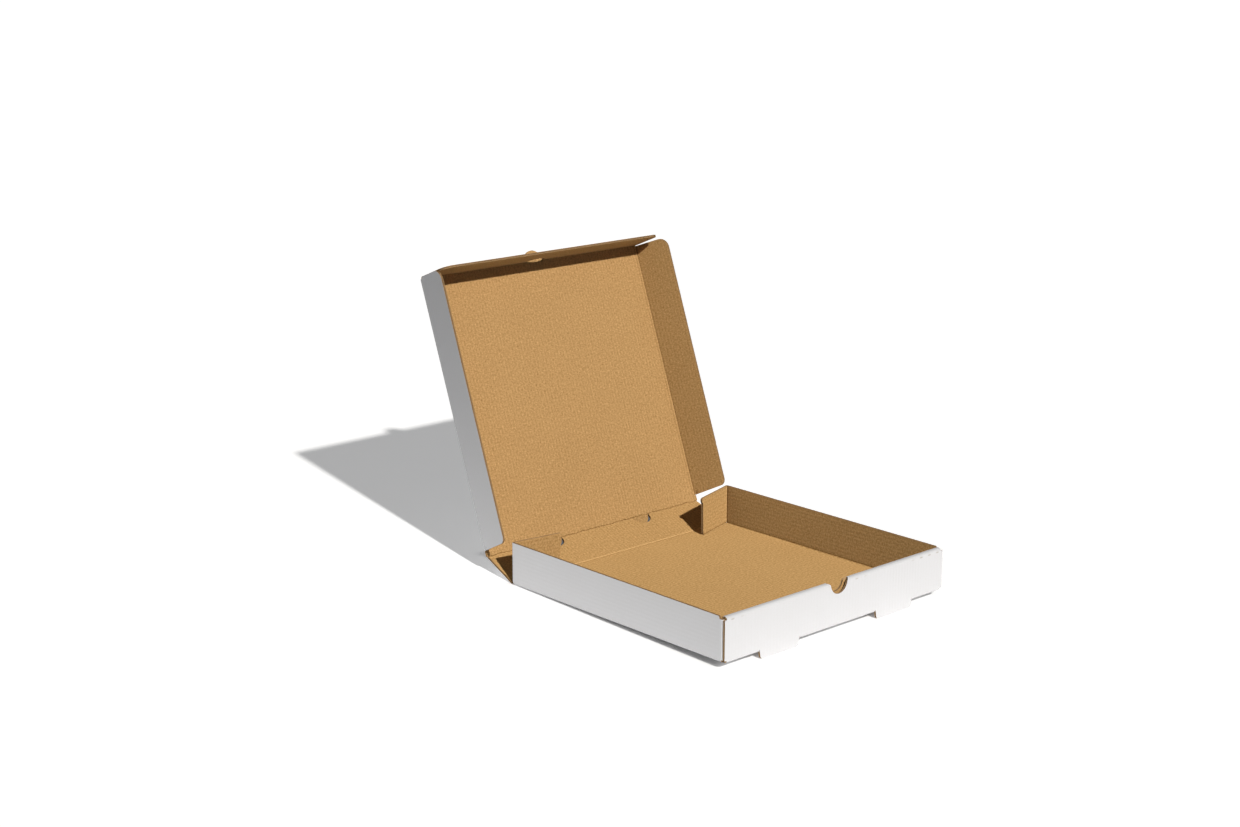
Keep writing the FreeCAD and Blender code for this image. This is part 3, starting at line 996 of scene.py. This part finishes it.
def front_flap_loop():
    """Its left end is a little narrower, behind the end of the left side flap."""
    start, end = FRONT_CREASE + CREASE_GAP, FRONT_CREASE + FRONT_FLAP_DEPTH
    left_half, right_half = LID_HALF - FLAP_CLEARANCE, LID_HALF + FRONT_FLAP_MARGIN
    dip = math.degrees(math.asin(CREASE_GAP / THUMB_CUT))
    loop = rounded([
        (right_half, start, 0, "cut"),
        (right_half, end, FRONT_FLAP_RADIUS, "cut"),
        (-left_half, end, FRONT_FLAP_RADIUS, "cut"),
        (-left_half, start, 0, "cut"),
    ])
    return loop + arc(0, FRONT_CREASE, THUMB_CUT, 180 - dip, dip)


def side_flap_loop(side):
    """Past a short step by the lid, the left flap's front end covers the front flap's end."""
    start, end = LID_CREASE + SIDE_FLAP_START, FRONT_CREASE - SIDE_FLAP_END_GAP
    near, far = side * (LID_HALF + CREASE_GAP), side * (LID_HALF + SIDE_FLAP_DEPTH)
    cover = FRONT_CREASE + END_SWELL[side]
    step_outer, step_inner = (0.6, 0.4) if side < 0 else (0, 0)
    return rounded([
        (near, start, 0, "cut"),
        (far, start + SIDE_FLAP_TAPER, SIDE_FLAP_BACK_RADIUS, "cut"),
        (far, cover, SIDE_FLAP_FRONT_RADIUS, "cut"),
        (near + side * 3.0, cover, step_outer, "cut"),
        (near + side * 2.0, end, step_inner, "cut"),
        (near, end, 0, "cut"),
    ])


def flat_piece(name, place, loop, seed):
    """A flat board of its own; seed sets how its cut edges stray."""
    mesh = Mesh()
    panel(mesh, place, loop, seed)
    return mesh.build(name)


# Pieces
tray = tray_piece().build("tray_board")
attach(tray, "tray")
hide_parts("tray")

for side, label in SIDES:
    tab = flat_piece("rear_tab_%s_board" % label, IN_REAR_TAB[side], rear_tab_loop(side), 11.0 + side)
    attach(tab, "rear_tab_" + label)
    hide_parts("rear_tab_" + label)

piece = flat_piece("hinge_panel_board", IN_PANEL, hinge_panel_loop(), 14.0)
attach(piece, "hinge_panel")
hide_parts("hinge_panel")

piece = flat_piece("lid_panel_board", IN_LID, lid_panel_loop(), 17.0)
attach(piece, "lid_panel")
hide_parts("lid_panel")

piece = flat_piece("front_flap_board", IN_FRONT_FLAP, front_flap_loop(), 20.0)
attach(piece, "lid_front_flap")
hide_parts("lid_front_flap")

for side, label in SIDES:
    piece = flat_piece("side_flap_%s_board" % label, IN_SIDE_FLAP[side], side_flap_loop(side), 22.0 + side)
    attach(piece, "lid_flap_" + label)
    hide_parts("lid_flap_" + label)


def hinge_piece(name, place_a, place_b, line, spans, side, raise_by=CREASE_RISE):
    """The bent board of one hinge, as one piece laid between two panels."""
    mesh = Mesh()
    for start, end in spans:
        crease(mesh, place_a, place_b, line, start, end, side, raise_by)
    piece = mesh.build(name)
    orient(piece)
    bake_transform(piece)


hinge_piece(
    "tray_crease_board", IN_TRAY, IN_PANEL, ("y", BACK_CREASE),
    [(-FLAT_HALF, FLAT_HALF)], 1,
)
hinge_piece(
    "lid_crease_board", IN_PANEL, IN_LID, ("y", LID_CREASE),
    [(-LID_HALF, -VENT - VENT_CUT), (-VENT + VENT_CUT, VENT - VENT_CUT), (VENT + VENT_CUT, LID_HALF)], 1,
)
hinge_piece(
    "front_crease_board", IN_LID, IN_FRONT_FLAP, ("y", FRONT_CREASE),
    [(-LID_EDGE, -THUMB_CUT), (THUMB_CUT, LID_EDGE)], 1,
)
for side, label in SIDES:
    hinge_piece(
        "side_crease_%s_board" % label, IN_LID, IN_SIDE_FLAP[side],
        ("x", side * LID_HALF), [(LID_CREASE + SIDE_FLAP_START, FRONT_CREASE - SIDE_FLAP_END_GAP)], side,
    )
    heights = sorted((side * (INNER_HALF + FLOOR_GAP), side * (INNER_HALF + TOP)))
    hinge_piece(
        "tab_crease_%s_board" % label, IN_SIDE_WALL[side], IN_REAR_TAB[side],
        ("y", TAB_CREASE), [tuple(heights)], 1, TAB_CREASE_RISE,
    )


# Floor: it glows, as a white sheet lit from all round does, apart from the zones under and behind the box,
# where the glow is turned off as painted shade
FLOOR_GLOW = 0.345
PAINTED_SHADE_ZONES = (
    # Half width, middle y, half depth and softness of each zone of painted shade, in metres
    (0.122, -0.060, 0.117, 0.014),
    (0.085, 0.1, 0.025, 0.02),
)
paper = bpy.data.materials.new("ground_white")
paper.use_nodes = True
tree, shader = nodes_of(paper)
shader.inputs["Base Color"].default_value = (0.93, 0.93, 0.93, 1)
shader.inputs["Emission Color"].default_value = (1, 1, 1, 1)
shader.inputs["Roughness"].default_value = 0.9
shader.inputs["Specular IOR Level"].default_value = 0.0
g = Graph(tree)
split = g.node("ShaderNodeSeparateXYZ")
g.link(g.node("ShaderNodeTexCoord").outputs["Object"], split.inputs[0])
clear = 1.0
for half_x, middle_y, half_y, soft in PAINTED_SHADE_ZONES:
    reach_x = g.math("SUBTRACT", g.math("ABSOLUTE", split.outputs[0]), half_x)
    reach_y = g.math("SUBTRACT", g.math("ABSOLUTE", g.math("SUBTRACT", split.outputs[1], middle_y)), half_y)
    away = g.math("MAXIMUM", g.math("DIVIDE", g.math("MAXIMUM", reach_x, reach_y), soft), 0.0)
    clear = g.math("MINIMUM", away, clear)
g.link(g.math("MULTIPLY", clear, FLOOR_GLOW), shader.inputs["Emission Strength"])

# A table's worth of floor throws light back at the box; the floor round it only fills the picture
near, far = 0.4, 60.0
square = [(-1, -1), (1, -1), (1, 1), (-1, 1)]
for name, corners, faces in (
    ("ground", [(x * near, y * near, 0) for x, y in square], [(0, 1, 2, 3)]),
    ("ground_round", [(x * d, y * d, 0) for d in (near, far) for x, y in square],
     [(i, i + 4, (i + 1) % 4 + 4, (i + 1) % 4) for i in range(4)]),
):
    mesh = bpy.data.meshes.new(name)
    mesh.from_pydata(corners, [], faces)
    mesh.materials.append(paper)
    ground = bpy.data.objects.new(name, mesh)
    ground.visible_diffuse = name == "ground"
    bpy.context.collection.objects.link(ground)

# Camera, as fitted to the box's straight edges in the photo: degrees, millimetres and pixels
azimuth, elevation, roll = math.radians(-42.42), math.radians(14.25), math.radians(-0.05)
distance, focal, width_px = 2138.60, 2112.11, 1240
SENSOR_WIDTH = 36
target = Vector((200.13, 476.36, 50.0 - BOARD))
level_way = math.cos(elevation)
back = Vector((math.sin(azimuth) * level_way, -math.cos(azimuth) * level_way, math.sin(elevation)))
right = (-back).cross(Z_AXIS).normalized()
down = (-back).cross(right)
right_rolled = right * math.cos(roll) + down * math.sin(roll)
down_rolled = down * math.cos(roll) - right * math.sin(roll)
basis = Matrix((right_rolled, -down_rolled, back)).transposed()
eye = target + back * distance
tip = TIP.to_3x3()
camera_data = bpy.data.cameras.new("camera")
camera_data.sensor_width = SENSOR_WIDTH
camera_data.lens = SENSOR_WIDTH * focal / width_px
camera_data.clip_end = 500
camera = bpy.data.objects.new("camera", camera_data)
camera.matrix_world = Matrix.Translation((tip @ eye + SHIFT) * MM) @ (tip @ basis).to_4x4()
bpy.context.collection.objects.link(camera)
bpy.context.scene.camera = camera

# Light: a low sun from the front, a soft fill from the left and a faint sky
for name, energy, angle, colour, way in (
    ("sun", 3.6, 1.6, (1.0, 0.985, 0.96), (-0.19, -0.79, 0.58)),
    ("fill", 0.7, 30.0, (0.96, 0.98, 1.0), (-0.99, 0.1, 0.1)),
):
    data = bpy.data.lights.new(name, "SUN")
    data.energy = energy
    data.angle = math.radians(angle)
    data.color = colour
    light = bpy.data.objects.new(name, data)
    light.rotation_euler = (tip @ Vector(way)).to_track_quat("Z", "Y").to_euler()
    bpy.context.collection.objects.link(light)

world = bpy.data.worlds.new("studio")
world.use_nodes = True
world.node_tree.nodes["Background"].inputs[0].default_value = (0.93, 0.96, 1.0, 1)
world.node_tree.nodes["Background"].inputs[1].default_value = 0.045
bpy.context.scene.world = world
bpy.context.scene.view_settings.view_transform = "Standard"
